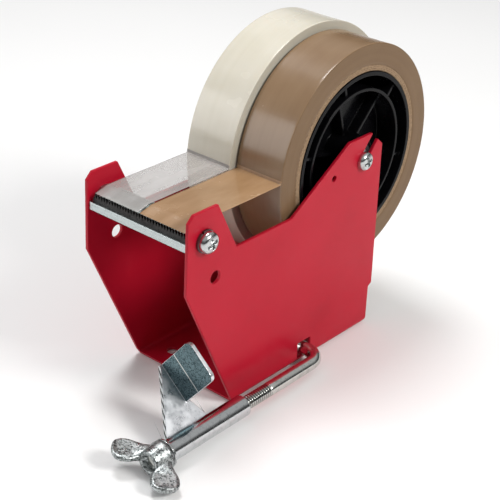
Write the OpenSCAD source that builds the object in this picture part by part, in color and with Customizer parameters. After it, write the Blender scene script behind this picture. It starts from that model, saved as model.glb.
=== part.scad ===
// Bench dispenser for two rolls of packing tape, with a hook-bolt clamp for the edge of a bench.
// +X runs across the tape, -Y is the cutting end and +Z is up.
// The origin is the centre of the base's underside.

/* [Frame] */
// Thickness of the steel sheet
sheet_t = 1.5; // [1:0.1:2.5]
// Outer radius of the two folds along the base
fold_r = 3; // [2.6:0.2:5]
// Length of the base along Y
base_len = 91; // [80:1:110]
// Height of the side plates at the front ear
plate_h = 95.5; // [88:0.5:106]
// Drop from the ear's top to where the front edge slopes back to the base
slope_drop = 33.5; // [30:0.5:45]
// How far the front edge stands ahead of the base
nose_reach = 28.5; // [26:0.5:36]
// Drop from the ear's top to the waist between the ear and the arm
waist_drop = 22; // [16:0.5:30]

/* [Base holes] */
// Spacing of the bench screw holes along X
hole_pitch_x = 32.6; // [24:0.2:36]
// Spacing of the bench screw holes along Y
hole_pitch_y = 71; // [50:1:74]
// Diameter of a bench screw hole
hole_d = 5.3; // [3:0.1:7]

/* [Cutting end] */
// Diameter of the bar that the tapes pass over
guide_d = 11; // [9:0.5:13]
// Drop from the ear's top to the guide bar's axis
guide_drop = 12.5; // [9.5:0.5:14]
// Thickness of the blade
blade_t = 1; // [0.6:0.1:1.4]
// Pitch of the teeth along the blade
tooth_pitch = 1.5; // [1.3:0.1:4]
// Depth of the teeth
tooth_h = 1.9; // [1:0.1:2.4]
// Height of the bright strip that holds the blade
strip_h = 3.4; // [3:0.1:4.5]

/* [Reels] */
// Width of one tape
tape_w = 24; // [18:0.5:29]
// Gap between a tape and the side plate beside it
side_gap = 2.1; // [1.6:0.1:4]
// Inner diameter of a cardboard core
core_d = 76.2; // [60:0.2:80]
// Wall of a cardboard core
core_t = 2.6; // [1.5:0.1:4]
// Outer diameter of the brown roll
brown_d = 100; // [88:1:108]
// Outer diameter of the clear roll
clear_d = 107; // [88:1:112]
// Diameter of the axle tube
axle_d = 10; // [8:0.5:14]
// Drop from the arm's top to the axle
axle_drop = 11; // [8:0.5:16]
// Width of the open slots in the arms
slot_w = 5.4; // [5.2:0.1:6.5]
// Slope of the open slots above the horizontal
slot_angle = 49; // [40:1:60]

/* [Screws] */
// Shank diameter of the guide and axle screws
screw_d = 5; // [4:0.1:5]
// Head diameter of the guide screws
guide_head_d = 9; // [8:0.5:11]
// Head diameter of the axle screws
axle_head_d = 8.2; // [7.5:0.1:10]

/* [Clamp] */
// Diameter of the hook bolt
bolt_d = 6; // [5:0.1:6.4]
// Pitch of the hook bolt's thread
thread_pitch = 1.25; // [0.8:0.05:1.5]
// Length of thread on the hook bolt
thread_len = 68; // [50:1:74]
// Distance of the hook bolt's axis from the side plate
bolt_gap = 10; // [9:0.5:14]
// Height of the hook bolt's axis when the clamp lies on the bench
bolt_z = 6.2; // [6.1:0.1:7]
// Length of the jaw's sleeve
sleeve_len = 44; // [36:1:46]
// Wall of the jaw's sleeve
sleeve_t = 1.5; // [1.2:0.1:1.9]
// Reach of the jaw from the bolt's axis to the pad's outer edge
jaw_reach = 31; // [26:0.5:34]
// Slope of the jaw's web above the horizontal
jaw_angle = 40; // [30:1:60]
// Span of the wing nut over both wings
wing_span = 33; // [26:0.5:38]

/* [Hidden] */
$fn = 48;
eps = 0.01;
cut = 1;                       // overshoot of a cutting tool past the face that it cuts
lane_gap = 0.8;                // gap between the two tapes
inner_w = 2 * tape_w + lane_gap + 2 * side_gap;
side_x = inner_w / 2;          // inner face of a side plate
outer_x = side_x + sheet_t;    // outer face of a side plate
fold_in_r = fold_r - sheet_t;
base_front_y = -base_len / 2;
base_back_y = base_len / 2;
nose_y = base_front_y - nose_reach;

// Ear, waist and arm of the side plates
ear_back_y = nose_y + 16.5;
ear_chamfer = 3;
waist_front_y = ear_back_y + 11.2;
waist_z = plate_h - waist_drop;
slope_z = plate_h - slope_drop;
guide_z = plate_h - guide_drop;
arm_top_z = plate_h + 0.5;
axle_z = arm_top_z - axle_drop;
arm_chamfer_y = 8;
arm_chamfer_z = 7;
heel_step = 2.2;               // the base is this much shorter than the plates at the back
heel_z = 20;
arm_back_y = base_back_y + heel_step;
axle_y = arm_back_y - 14.2;
arm_top_y = arm_back_y - 1 - arm_chamfer_y;
arm_front_y = axle_y - 10;
ramp_y = axle_y - 46;          // where the waist turns up into the arm
pin_hole_d = 2.8;
pin_hole_y = axle_y - 19.5;
pin_hole_z = axle_z - 2.3;
spare_hole_d = 5.5;
spare_hole_y = nose_y + 15.7;
spare_hole_z = guide_z - 18.4;

// Guide bar, blade and blade holder
guide_y = nose_y + 9;
guide_top = guide_z + guide_d / 2;
ear_t = 1;                     // thickness of the blade holder's sheet
fit = 0.1;                     // gap between pieces that are bolted or slid together
guide_len = inner_w - 2 * ear_t - 4 * fit;
strip_y = nose_y + 0.6;        // front face of the bright strip
blade_y = strip_y + ear_t + eps;
blade_top = guide_top - 1.5;
strip_top = blade_top - tooth_h - 1.8;
strip_z = strip_top - strip_h;
blade_z = strip_z - 0.8;
blade_len = inner_w - 2 * ear_t - 6 * fit;
tooth_count = floor(blade_len / tooth_pitch);
rivet_d = 2;
rivet_x = blade_len / 4;
rivet_z = strip_z + strip_h / 2;
rivet_skin = 0.4;              // sheet left in front of a rivet, so that the strip's face is plain
lock_t = 1.2;
guide_screw_len = 12;

// Reels
hub_w = tape_w + 0.4;
hub_x = lane_gap / 2 - 0.1;
hub_d = core_d - 2 * fit;
hub_rim_t = 2;
hub_ring_r = hub_d / 2 - 7.5;
hub_ring_t = 1.5;
hub_boss_r = axle_d / 2 + 5;
hub_web_t = 2;
hub_ribs = 6;
rib_t = 1.5;
axle_fit = 0.08;               // running gap between hub and axle, on the radius
tape_t = 0.3;                  // thickness that stands for the tape's own film
tape_rise = 0.08;              // gap between the tape and what it lies on
core_gap = 0.03;                // gap between a core and the film wound on it
peel_gap = 0.35;               // gap between a tape's free length and the roll that it leaves
axle_washer_r = axle_d / 2 + 2;

// Clamp
bolt_r = bolt_d / 2;
bolt_x = outer_x + bolt_gap;
hook_y = 0.4;                  // where the hook passes through the side plate
hook_bend_r = 8;
hook_end_r = 6;
hook_reach = 8;                // straight length of the hook through the side plate
hook_up = 4;                   // straight length of the hook's upturned end
hook_slot_len = bolt_d + 2.4;
hook_slot_top = bolt_z + bolt_r + 0.9;
thread_depth = 0.55;
sleeve_back_y = base_front_y - 5.5;
sleeve_front_y = sleeve_back_y - sleeve_len;
sleeve_fit = 0.1;
sleeve_in_r = bolt_r + sleeve_fit;
sleeve_r = sleeve_in_r + sleeve_t;
web_t = 2;
pad_inner = 13;
pad_w = 25;                    // width of the pad across the web
pad_top_z = bolt_z + jaw_reach * sin(jaw_angle) + (pad_w - sleeve_r) * cos(jaw_angle);
pad_gap = 4.7;                 // room between the pad and the side plate's sloping front edge
pad_back_y = base_front_y - (nose_reach + 0.5) * pad_top_z / slope_z - pad_gap;
pad_corner_r = 3;
washer_t = 1;
washer_r = bolt_z - 0.2;
nut_y = sleeve_front_y - washer_t - 2 * fit;
nut_len = 8.8;
bolt_end_y = nut_y - nut_len + 2;
nut_foot_r = bolt_z - 0.2;
nut_top_r = 5;
wing_r = 5.9;
wing_t = 2.6;
wing_sweep = 10.6;             // how far the wings' ends stand ahead of the nut's foot
wing_y = nut_y - wing_sweep;
wing_tilt = 10;                // turn of the nut on the bolt

// A flat outline given as [y, z] points, made solid from x0 over the length len
module slab_x(x0, len) {
  translate([x0, 0, 0]) rotate([90, 0, 90]) linear_extrude(len) children();
}

// A round bar along X that starts at x0
module rod_x(x0, len, r, y, z) {
  translate([x0, y, z]) rotate([0, 90, 0]) cylinder(h = len, r = r);
}

// A round bar along +Y that starts at y0, on the hook bolt's axis
module rod_y(y0, len, r) {
  translate([bolt_x, y0, bolt_z]) rotate([-90, 0, 0]) cylinder(h = len, r = r);
}

// The outline that both side plates and the base are cut to
module side_outline() {
  polygon([
    [base_front_y + cut * (nose_reach + 0.5) / slope_z, -cut],
    [nose_y - 0.5, slope_z],
    [nose_y, plate_h - ear_chamfer],
    [nose_y + ear_chamfer, plate_h],
    [ear_back_y, plate_h],
    [waist_front_y, waist_z],
    [ramp_y, waist_z],
    [arm_front_y, arm_top_z],
    [arm_top_y, arm_top_z],
    [arm_back_y - 1, arm_top_z - arm_chamfer_z],
    [arm_back_y, heel_z],
    [base_back_y, heel_z - 1.2],
    [base_back_y, -cut]
  ]);
}

// One fold of the channel: a quarter of a tube along Y, cut off square at both of its ends
module fold(side, len) {
  mirror([side < 0 ? 1 : 0, 0, 0]) translate([outer_x - fold_r, 0, fold_r]) intersection() {
    rotate([90, 0, 0]) difference() {
      cylinder(h = len, r = fold_r);
      translate([0, 0, -cut]) cylinder(h = len + 2 * cut, r = fold_in_r);
    }
    translate([0, -len - cut, -fold_r - cut]) cube([fold_r + cut, len + 2 * cut, fold_r + cut]);
  }
}

module channel() {
  len = arm_back_y - nose_y + 2 * cut + 1;
  translate([0, arm_back_y + cut, 0]) {
    fold(-1, len);
    fold(1, len);
    translate([-outer_x + fold_r, -len, 0]) cube([2 * (outer_x - fold_r), len, sheet_t]);
    for (x = [-outer_x, side_x])
      translate([x, -len, fold_r]) cube([sheet_t, len, arm_top_z + cut - fold_r]);
  }
}

module axle_slot() {
  translate([-outer_x - cut, axle_y, axle_z]) rotate([slot_angle, 0, 0])
    translate([0, 0, -slot_w / 2]) cube([2 * (outer_x + cut), 2 * axle_d, slot_w]);
  rod_x(-outer_x - cut, 2 * (outer_x + cut), slot_w / 2 + 0.15, axle_y, axle_z);
}

module frame() {
  color("crimson") difference() {
    intersection() {
      channel();
      slab_x(-outer_x - cut, 2 * (outer_x + cut)) side_outline();
    }
    axle_slot();
    rod_x(-outer_x - cut, 2 * (outer_x + cut), screw_d / 2 + 0.2, guide_y, guide_z);
    rod_x(-outer_x - cut, 2 * (outer_x + cut), spare_hole_d / 2, spare_hole_y, spare_hole_z);
    rod_x(-outer_x - cut, 2 * (outer_x + cut), pin_hole_d / 2, pin_hole_y, pin_hole_z);
    for (sx = [-1, 1], sy = [-1, 1])
      translate([sx * hole_pitch_x / 2, sy * hole_pitch_y / 2, -cut])
        cylinder(h = sheet_t + 2 * cut, d = hole_d);
    // Slot for the hook bolt, through the right side plate only
    translate([side_x - cut, hook_y - hook_slot_len / 2, bolt_z - bolt_r - 0.6])
      cube([sheet_t + 2 * cut, hook_slot_len, hook_slot_top - bolt_z + bolt_r + 0.6]);
  }
}

module guide_bar() {
  color("silver") difference() {
    rod_x(-guide_len / 2, guide_len, guide_d / 2, guide_y, guide_z);
    for (side = [-1, 1])
      rod_x(side * guide_len / 2 - guide_screw_len, 2 * guide_screw_len, screw_d / 2, guide_y, guide_z);
  }
}

// A pan head with a cross recess, its underside at X = 0 and its shank towards -X
module pan_screw(head_d, head_h, shank_len, recess) {
  head_r = head_d / 2;
  difference() {
    rotate([0, 90, 0]) rotate_extrude()
      polygon([[0, 0], [head_r, 0], [head_r, head_h * 0.45], [head_r * 0.93, head_h * 0.68],
               [head_r * 0.76, head_h * 0.88], [head_r * 0.45, head_h], [0, head_h]]);
    for (turn = [0, 90])
      rotate([turn + 20, 0, 0])
        translate([head_h - recess, -head_d * 0.3, -head_d * 0.07])
          cube([recess + cut, head_d * 0.6, head_d * 0.14]);
  }
  translate([-shank_len, 0, 0]) rotate([0, 90, 0]) cylinder(h = shank_len + eps, r = screw_d / 2 - 0.05);
}

module guide_screw(side) {
  head_x = outer_x + lock_t + fit;
  shank = lock_t + sheet_t + ear_t + guide_screw_len - 2;
  color("lightgray") mirror([side < 0 ? 1 : 0, 0, 0])
    translate([head_x, guide_y, guide_z]) pan_screw(guide_head_d, 3.2, shank, 1.4);
}

// A split spring washer: a ring with a narrow gap
module lock_washer(side) {
  color("dimgray") mirror([side < 0 ? 1 : 0, 0, 0])
    translate([outer_x + fit / 2, guide_y, guide_z]) difference() {
      rotate([0, 90, 0]) cylinder(h = lock_t, d = guide_head_d + 0.6);
      translate([-cut, 0, 0]) rotate([0, 90, 0]) cylinder(h = lock_t + 2 * cut, d = screw_d + 0.3);
      rotate([25, 0, 0]) translate([-cut, -0.4, 0]) cube([lock_t + 2 * cut, 0.8, guide_head_d]);
    }
}

// The toothed outline in X and Z, from the lower edge up to the tips
module blade_outline() {
  toothed = tooth_count * tooth_pitch;
  polygon(concat(
    [[blade_len / 2, blade_top - tooth_h], [blade_len / 2, blade_z],
     [-blade_len / 2, blade_z], [-blade_len / 2, blade_top - tooth_h]],
    [for (i = [0 : tooth_count - 1])
      each [[i * tooth_pitch - toothed / 2, blade_top - tooth_h],
            [(i + 0.5) * tooth_pitch - toothed / 2, blade_top]]],
    [[toothed / 2, blade_top - tooth_h]]
  ));
}

module rivet_holes(y, depth) {
  for (side = [-1, 1])
    translate([side * rivet_x, y - cut, rivet_z]) rotate([-90, 0, 0])
      cylinder(h = depth + 2 * cut, d = rivet_d + fit);
}

module blade() {
  color([0.08, 0.08, 0.08]) difference() {
    translate([0, blade_y + blade_t, 0]) rotate([90, 0, 0]) linear_extrude(blade_t) blade_outline();
    rivet_holes(blade_y, blade_t);
  }
}

// The bright strip in front of the blade, with an ear at each end that the guide screw holds
module blade_holder() {
  ear_x = side_x - fit - ear_t;
  color("silver") difference() {
    union() {
      translate([-ear_x - eps, strip_y, strip_z]) cube([2 * (ear_x + eps), ear_t, strip_h]);
      for (x = [-ear_x - ear_t, ear_x])
        slab_x(x, ear_t) {
          translate([strip_y, strip_z]) square([guide_y - strip_y, strip_h]);
          translate([guide_y, guide_z]) circle(guide_d / 2 - 0.4);
        }
    }
    rod_x(-side_x - cut, inner_w + 2 * cut, screw_d / 2 + 0.2, guide_y, guide_z);
    rivet_holes(strip_y + rivet_skin + cut, ear_t);
  }
}

module blade_rivets() {
  color("gray") for (side = [-1, 1])
    translate([side * rivet_x, strip_y + rivet_skin + eps, rivet_z]) rotate([-90, 0, 0]) {
      cylinder(h = ear_t + blade_t - rivet_skin + 0.1, d = rivet_d);
      translate([0, 0, ear_t + blade_t - rivet_skin + 0.05])
        cylinder(h = 0.7, r1 = rivet_d * 0.8, r2 = rivet_d * 0.5);
    }
}

module axle() {
  axle_len = inner_w - 2 * fit;
  color("silver") difference() {
    rod_x(-axle_len / 2, axle_len, axle_d / 2, axle_y, axle_z);
    for (side = [-1, 1])
      rod_x(side * axle_len / 2 - guide_screw_len, 2 * guide_screw_len, screw_d / 2, axle_y, axle_z);
  }
}

module axle_screw(side) {
  color("lightgray") mirror([side < 0 ? 1 : 0, 0, 0])
    translate([outer_x + fit, axle_y, axle_z])
      pan_screw(axle_head_d, 3, sheet_t + fit + guide_screw_len - 2, 1.4);
}

// A thin washer on the axle tube that keeps the hub off the side plate
module axle_washer(side) {
  hub_end = hub_x + hub_w;
  color([0.03, 0.03, 0.032]) mirror([side < 0 ? 1 : 0, 0, 0]) difference() {
    rod_x(hub_end + fit, side_x - hub_end - 3 * fit, axle_washer_r, axle_y, axle_z);
    rod_x(hub_end - cut, side_x - hub_end + 2 * cut, axle_d / 2 + 0.05, axle_y, axle_z);
  }
}

module ring_x(x0, len, r, wall) {
  difference() {
    rod_x(x0, len, r, axle_y, axle_z);
    rod_x(x0 - cut, len + 2 * cut, r - wall, axle_y, axle_z);
  }
}

// A moulded hub: rim, inner ring, boss and the ribs and web between them
module hub(side) {
  boss_wall = hub_boss_r - axle_d / 2 - axle_fit;
  web_x = hub_x + hub_w / 2 - hub_web_t / 2;
  color([0.06, 0.06, 0.06]) mirror([side < 0 ? 1 : 0, 0, 0]) {
    ring_x(hub_x, hub_w, hub_d / 2, hub_rim_t);
    ring_x(hub_x + 1, hub_w - 2, hub_ring_r, hub_ring_t);
    ring_x(hub_x, hub_w, hub_boss_r, boss_wall);
    ring_x(web_x, hub_web_t, hub_ring_r - hub_ring_t / 2, hub_ring_r - hub_ring_t / 2 - hub_boss_r + 0.5);
    for (i = [0 : hub_ribs - 1])
      translate([0, axle_y, axle_z]) rotate([i * 360 / hub_ribs + 15, 0, 0]) {
        translate([hub_x + 2, -rib_t / 2, hub_ring_r - 0.5])
          cube([hub_w - 4, rib_t, hub_d / 2 - hub_rim_t - hub_ring_r + 1]);
        translate([hub_x + 6, -rib_t / 2, hub_boss_r - 0.5])
          cube([hub_w - 12, rib_t, hub_ring_r - hub_ring_t - hub_boss_r + 1]);
      }
  }
}

module tape_core(side) {
  color("tan") mirror([side < 0 ? 1 : 0, 0, 0])
    ring_x(lane_gap / 2, tape_w, core_d / 2 + core_t, core_t);
}

module tape_roll(side, roll_d) {
  mirror([side < 0 ? 1 : 0, 0, 0])
    ring_x(lane_gap / 2, tape_w, roll_d / 2, roll_d / 2 - core_d / 2 - core_t - core_gap);
}

// The free length of a tape, from its roll over the guide bar to the teeth
module tape_end(side, roll_d) {
  low = guide_top + tape_rise;
  drop = axle_z - low;
  roll_y = axle_y - sqrt(roll_d * roll_d / 4 - drop * drop) - peel_gap;
  wrap_r = guide_d / 2 + tape_rise;
  over = concat([[roll_y, low]],
                [for (lean = [0 : 5 : 25]) [guide_y - wrap_r * sin(lean), guide_z + wrap_r * cos(lean)]],
                [[blade_y + 0.2, blade_top + tape_rise]]);
  mirror([side < 0 ? 1 : 0, 0, 0]) slab_x(lane_gap / 2, tape_w)
    polygon(concat(over, [for (i = [len(over) - 1 : -1 : 0]) over[i] + [0, tape_t]]));
}

// The thread's outline from the bolt's end: [radius, distance along the bolt]
module thread_outline() {
  turns = floor(thread_len / thread_pitch);
  polygon(concat(
    [[0, 0], [bolt_r - thread_depth, 0]],
    [for (i = [0 : turns - 1])
      each [[bolt_r, (i + 0.5) * thread_pitch], [bolt_r - thread_depth, (i + 1) * thread_pitch]]],
    [[bolt_r, turns * thread_pitch + thread_depth], [bolt_r, thread_len + 1], [0, thread_len + 1]]
  ));
}

module hook_bolt() {
  bend_y = hook_y - hook_bend_r;
  thread_end_y = bolt_end_y + thread_len;
  reach_x = bolt_x - hook_bend_r - hook_reach;
  color("silver") {
    translate([bolt_x, bolt_end_y, bolt_z]) rotate([-90, 0, 0]) rotate_extrude() thread_outline();
    rod_y(thread_end_y + 1 - eps, bend_y - thread_end_y - 1 + 2 * eps, bolt_r);
    translate([bolt_x - hook_bend_r, bend_y, bolt_z])
      rotate_extrude(angle = 90) translate([hook_bend_r, 0]) circle(bolt_r);
    rod_x(reach_x - eps, hook_reach + 2 * eps, bolt_r, hook_y, bolt_z);
    translate([reach_x, hook_y, bolt_z + hook_end_r]) rotate([90, 0, 180])
      rotate_extrude(angle = -90) translate([hook_end_r, 0]) circle(bolt_r);
    translate([reach_x - hook_end_r, hook_y, bolt_z + hook_end_r - eps]) cylinder(h = hook_up, r = bolt_r);
  }
}

// The jaw's own axes: the bolt's axis is the origin, +X points along the web and +Z across it
module on_bolt_axis() {
  translate([bolt_x, 0, bolt_z]) rotate([0, 180 + jaw_angle, 0]) mirror([0, 0, 1]) children();
}

module clamp_jaw() {
  web_z = -sleeve_r;
  color("lightsteelblue") difference() {
    union() {
      rod_y(sleeve_front_y, sleeve_len, sleeve_r);
      on_bolt_axis() {
        translate([0, 0, web_z]) linear_extrude(web_t)
          polygon([[0, sleeve_front_y + 4], [sleeve_in_r, sleeve_front_y + 4.5], [jaw_reach, pad_back_y - 3],
                   [jaw_reach, pad_back_y], [pad_inner, pad_back_y], [sleeve_in_r, pad_back_y + 4],
                   [0, pad_back_y + 4]]);
        translate([0, pad_back_y, web_z]) rotate([90, 0, 0]) linear_extrude(web_t) {
          translate([pad_inner, 0]) square([jaw_reach - pad_inner, pad_w - pad_corner_r]);
          translate([pad_inner + pad_corner_r, 0]) square([jaw_reach - pad_inner - 2 * pad_corner_r, pad_w]);
          for (r = [pad_inner + pad_corner_r, jaw_reach - pad_corner_r])
            translate([r, pad_w - pad_corner_r]) circle(pad_corner_r);
        }
      }
    }
    rod_y(sleeve_front_y - cut, sleeve_len + 2 * cut, sleeve_in_r);
  }
}

module thrust_washer() {
  color("silver") difference() {
    rod_y(sleeve_front_y - washer_t - fit, washer_t, washer_r);
    rod_y(sleeve_front_y - washer_t - fit - cut, washer_t + 2 * cut, bolt_r + 0.1);
  }
}

module wing(side) {
  lobe_x = side * (wing_span / 2 - wing_r);
  translate([0, 0, -wing_t / 2]) linear_extrude(wing_t) {
    translate([lobe_x, wing_y]) circle(wing_r);
    polygon([[side * (bolt_r + 1), nut_y - 1], [side * (bolt_r + 1), nut_y - nut_len + 1],
             [lobe_x - side * 3.2, wing_y - wing_r + 1], [lobe_x + side * 1.6, wing_y + wing_r - 0.3]]);
  }
}

module wing_nut() {
  color("silver") difference() {
    translate([bolt_x, 0, bolt_z]) rotate([0, wing_tilt, 0]) {
      translate([0, nut_y, 0]) rotate([90, 0, 0]) {
        cylinder(h = 2.4, r = nut_foot_r);
        translate([0, 0, 2.4 - eps]) cylinder(h = nut_len - 2.4, r1 = nut_foot_r, r2 = nut_top_r);
      }
      wing(-1);
      wing(1);
    }
    rod_y(nut_y - nut_len - cut, nut_len + 2 * cut, bolt_r + 0.1);
  }
}

frame();
guide_bar();
guide_screw(-1);  // guide_screw_left
guide_screw(1);  // guide_screw_right
lock_washer(-1);  // lock_washer_left
lock_washer(1);  // lock_washer_right
blade();
blade_holder();
blade_rivets();
axle();
axle_screw(-1);  // axle_screw_left
axle_screw(1);  // axle_screw_right
axle_washer(-1);  // axle_washer_left
axle_washer(1);  // axle_washer_right
hub(-1);  // hub_left
hub(1);  // hub_right
tape_core(-1);  // core_clear
tape_core(1);  // core_brown
color([0.86, 0.83, 0.74]) tape_roll(-1, clear_d);  // tape_roll_clear
color([0.55, 0.42, 0.29]) tape_roll(1, brown_d);  // tape_roll_brown
color([0.8, 0.78, 0.74]) tape_end(-1, clear_d);  // tape_end_clear
color([0.7, 0.52, 0.34]) tape_end(1, brown_d);  // tape_end_brown
hook_bolt();
clamp_jaw();
thrust_washer();
wing_nut();
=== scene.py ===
"""Bench dispenser for two packing tapes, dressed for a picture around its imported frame.

Every length is in metres. +X runs across the tapes, -Y is the cutting end and +Z is up.
"""

import logging
import math
from dataclasses import dataclass
from enum import Enum
from typing import Callable, Sequence

import bmesh
import bpy
import numpy as np
from mathutils import Matrix, Vector


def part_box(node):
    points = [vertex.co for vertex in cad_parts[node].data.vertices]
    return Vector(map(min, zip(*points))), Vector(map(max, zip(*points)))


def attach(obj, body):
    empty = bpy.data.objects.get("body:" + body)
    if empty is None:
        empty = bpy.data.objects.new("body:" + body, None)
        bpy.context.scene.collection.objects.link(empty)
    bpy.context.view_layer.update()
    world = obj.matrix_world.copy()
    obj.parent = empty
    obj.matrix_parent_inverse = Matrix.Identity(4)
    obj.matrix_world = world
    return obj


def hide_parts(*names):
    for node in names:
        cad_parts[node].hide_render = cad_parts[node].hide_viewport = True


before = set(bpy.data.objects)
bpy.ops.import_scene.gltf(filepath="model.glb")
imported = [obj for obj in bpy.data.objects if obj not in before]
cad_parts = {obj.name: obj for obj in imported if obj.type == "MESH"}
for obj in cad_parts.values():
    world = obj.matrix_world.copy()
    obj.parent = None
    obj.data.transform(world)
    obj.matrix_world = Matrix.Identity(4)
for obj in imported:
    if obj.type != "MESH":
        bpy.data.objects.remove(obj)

LOG = logging.getLogger("dispenser")
MM = 0.001
WELD = 2e-6
CREASE = 40.0
Colour = tuple[float, float, float]
Socket = bpy.types.NodeSocket


class Side(Enum):
    """The two side plates and what stands beside each."""

    LEFT = -1.0
    RIGHT = 1.0


class Pattern(Enum):
    """How a metal face is marked."""

    PLATED = "plated"
    BRUSHED = "brushed"
    CAST = "cast"
    GRAINED = "grained"
    ROPED = "roped"


# ---------------------------------------------------------------- meshes

def corners(node: str) -> tuple[np.ndarray, np.ndarray]:
    """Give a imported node's lowest and highest corners.

    Args:
        node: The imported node's name.

    Returns:
        Two arrays of three lengths, in metres.
    """
    low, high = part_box(node)
    return np.array(low[:], dtype=float), np.array(high[:], dtype=float)


def centre(node: str) -> np.ndarray:
    """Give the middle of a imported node's box."""
    low, high = corners(node)
    return (low + high) / 2


def half_height(node: str) -> float:
    """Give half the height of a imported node's box, which is the radius of a round part across X or Y."""
    low, high = corners(node)
    return (high[2] - low[2]) / 2


def new_piece(name: str, points: np.ndarray, faces: np.ndarray) -> bpy.types.Object:
    """Make a smooth mesh object from whole arrays.

    Args:
        name: The piece's name.
        points: An (n, 3) array of positions.
        faces: An (m, 4) array of point numbers.

    Returns:
        The new object, at the origin.
    """
    mesh = bpy.data.meshes.new(name)
    mesh.from_pydata(points.tolist(), [], faces.tolist())
    piece = bpy.data.objects.new(name, mesh)
    bpy.context.scene.collection.objects.link(piece)
    settle(piece)
    return piece


def settle(piece: bpy.types.Object) -> None:
    """Merge points nearer than WELD, turn the faces outwards and keep edges sharp past CREASE degrees.

    Args:
        piece: The object whose mesh is mended.
    """
    mesh = piece.data
    work = bmesh.new()
    work.from_mesh(mesh)
    bmesh.ops.remove_doubles(work, verts=work.verts, dist=WELD)
    bmesh.ops.dissolve_degenerate(work, edges=work.edges, dist=1e-7)
    bmesh.ops.recalc_face_normals(work, faces=work.faces)
    work.to_mesh(mesh)
    work.free()
    mesh.shade_smooth()
    mesh.set_sharp_from_angle(angle=math.radians(CREASE))


def grid_faces(rows: int, cols: int, wrap_rows: bool, wrap_cols: bool, start: int = 0) -> np.ndarray:
    """Number the four-sided faces of a grid of points.

    Face (i, j) joins points (i, j), (i, j+1), (i+1, j+1) and (i+1, j), where point (i, j) is i * cols + j.

    Args:
        rows: How many rows of points there are.
        cols: How many points a row holds.
        wrap_rows: Whether the last row joins the first.
        wrap_cols: Whether the last column joins the first.
        start: The number of the grid's first point.

    Returns:
        An (m, 4) array of point numbers.
    """
    i = np.arange(rows if wrap_rows else rows - 1)
    j = np.arange(cols if wrap_cols else cols - 1)
    i, j = np.meshgrid(i, j, indexing="ij")
    below, right = (i + 1) % rows, (j + 1) % cols
    quads = np.stack([i * cols + j, i * cols + right, below * cols + right, below * cols + j], axis=-1)
    return quads.reshape(-1, 4) + start


def tube_piece(name: str, rings: np.ndarray, closed: bool) -> bpy.types.Object:
    """Make a piece from rings of points, with its two ends drawn to their middles.

    Args:
        name: The piece's name.
        rings: A (rows, cols, 3) array, one row a ring.
        closed: Whether the last ring joins the first, so that there are no ends.

    Returns:
        The new object.
    """
    if not closed:
        first = np.broadcast_to(rings[0].mean(axis=0), rings[0].shape)
        last = np.broadcast_to(rings[-1].mean(axis=0), rings[-1].shape)
        rings = np.concatenate([first[None], rings, last[None]])
    rows, cols = rings.shape[:2]
    return new_piece(name, rings.reshape(-1, 3), grid_faces(rows, cols, closed, True))


def turned(name: str, profile: Sequence[tuple[float, float]], along: int, middle: np.ndarray,
           steps: int = 96) -> bpy.types.Object:
    """Turn a closed profile about an axis: a point (a, r) goes to a along it and r cos t, r sin t across it.

    Args:
        name: The piece's name.
        profile: Points (distance along the axis, radius) in millimetres, round the section.
        along: The axis: 0 for X, 1 for Y.
        middle: A point on the axis, in metres. Its place along the axis isn't used.
        steps: How many points go round.

    Returns:
        The new object, a closed ring.
    """
    outline = np.array(profile, dtype=float) * MM
    turn = np.linspace(0, 2 * math.pi, steps, endpoint=False)
    across = [axis for axis in range(3) if axis != along]
    points = np.zeros((len(outline), steps, 3))
    points[..., along] = outline[:, :1]
    points[..., across[0]] = middle[across[0]] + outline[:, 1:] * np.cos(turn)
    points[..., across[1]] = middle[across[1]] + outline[:, 1:] * np.sin(turn)
    return tube_piece(name, points, True)


def softened(node: str, width_mm: float, steps: int = 2, angle: float = 32.0,
             shape: Callable[[bmesh.types.BMesh], None] | None = None) -> bpy.types.Object:
    """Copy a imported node's mesh, merge its triangles and round its edges, to stand for the node.

    Args:
        node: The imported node's name.
        width_mm: The width of the rounding.
        steps: How many faces cross a rounded edge.
        angle: Edges that turn by more than this many degrees are rounded.
        shape: An optional step that works on the merged mesh before its edges are rounded.

    Returns:
        The new object, standing for the node.
    """
    work = bmesh.new()
    work.from_mesh(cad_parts[node].data)
    bmesh.ops.remove_doubles(work, verts=work.verts, dist=3e-6)
    bmesh.ops.dissolve_limit(work, angle_limit=math.radians(0.4), verts=work.verts, edges=work.edges)
    if shape is not None:
        shape(work)
    mesh = bpy.data.meshes.new(node + "_finished")
    work.to_mesh(mesh)
    work.free()
    mesh.materials.clear()
    piece = bpy.data.objects.new(node + "_finished", mesh)
    bpy.context.scene.collection.objects.link(piece)
    mesh.shade_smooth()
    mesh.set_sharp_from_angle(angle=math.radians(angle))
    edge = piece.modifiers.new("rounded_edges", "BEVEL")
    edge.width = width_mm * MM
    edge.segments = steps
    edge.limit_method = "ANGLE"
    edge.angle_limit = math.radians(angle)
    edge.use_clamp_overlap = False
    edge.harden_normals = True
    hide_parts(node)
    return piece


def dress(piece: bpy.types.Object, body: str, slot: str, *finishes: bpy.types.Material) -> bpy.types.Object:
    """Give a piece its materials and its body, and report it.

    Args:
        piece: The finished piece.
        body: The body that it moves with.
        slot: The record's material slot. It is not used.
        finishes: Its materials, in the order of its material numbers.

    Returns:
        The same piece.
    """
    for finish in finishes:
        piece.data.materials.append(finish)
    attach(piece, body)
    LOG.info("%s rides on %s with %d points", piece.name, body, len(piece.data.vertices))
    return piece


# ---------------------------------------------------------------- finishes

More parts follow.
